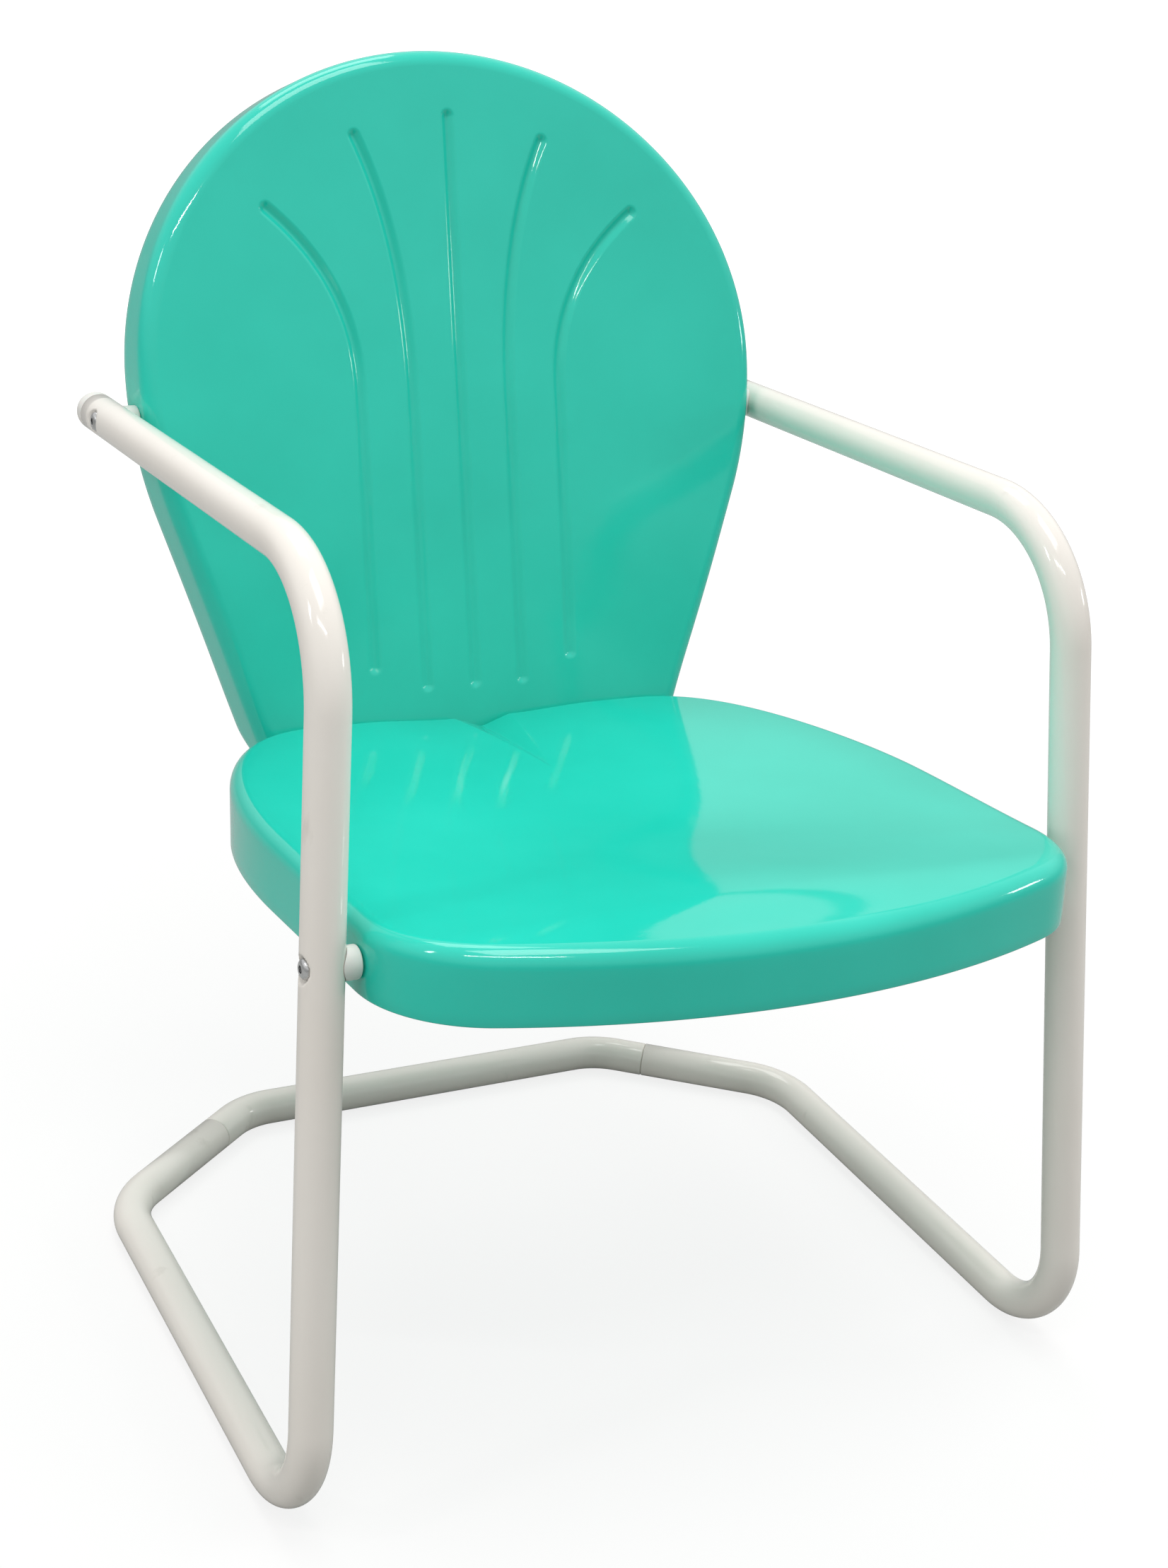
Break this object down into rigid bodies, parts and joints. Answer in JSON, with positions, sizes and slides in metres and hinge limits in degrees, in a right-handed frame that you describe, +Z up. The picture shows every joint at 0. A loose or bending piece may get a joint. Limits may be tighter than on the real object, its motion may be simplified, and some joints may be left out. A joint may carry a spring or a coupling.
{
  "type": "lawn chair",
  "caption": "Metal lawn chair with a rounded pressed back, a dished pressed seat and a springy bent tube frame that forms the legs and arms.",
  "frame": {"origin": "on the floor under the middle of the whole chair", "axes": "+Z up, -Y towards the front of the chair, +X towards the chair's right side as seen from the front"},
  "size_m": [0.6324, 0.706, 0.8658],
  "materials": {
    "shell_paint": "glossy turquoise powder coat",
    "tube_paint": "glossy off-white powder coat",
    "white_plastic": "satin white moulding",
    "bright_steel": "bright zinc plate"
  },
  "bodies": {
    "root": {"seat_pan": "shell_paint", "back_shell": "shell_paint", "floor_bar": "tube_paint", "left_side_frame": "tube_paint", "right_side_frame": "tube_paint", "left_seat_spacer": "white_plastic", "left_back_spacer": "white_plastic", "left_arm_cap": "white_plastic", "left_seat_bolt": "bright_steel", "left_seat_washer": "bright_steel", "left_seat_nut": "bright_steel", "left_back_bolt": "bright_steel", "left_back_washer": "bright_steel", "left_back_nut": "bright_steel", "left_bar_screw": "bright_steel", "right_seat_spacer": "white_plastic", "right_back_spacer": "white_plastic", "right_arm_cap": "white_plastic", "right_seat_bolt": "bright_steel", "right_seat_washer": "bright_steel", "right_seat_nut": "bright_steel", "right_back_bolt": "bright_steel", "right_back_washer": "bright_steel", "right_back_nut": "bright_steel", "right_bar_screw": "bright_steel", "left_lower_bolt": "bright_steel", "left_lower_rear_washer": "bright_steel", "left_lower_front_washer": "bright_steel", "left_lower_nut": "bright_steel", "middle_lower_bolt": "bright_steel", "middle_lower_rear_washer": "bright_steel", "middle_lower_front_washer": "bright_steel", "middle_lower_nut": "bright_steel", "right_lower_bolt": "bright_steel", "right_lower_rear_washer": "bright_steel", "right_lower_front_washer": "bright_steel", "right_lower_nut": "bright_steel"}
  },
  "joints": []
}
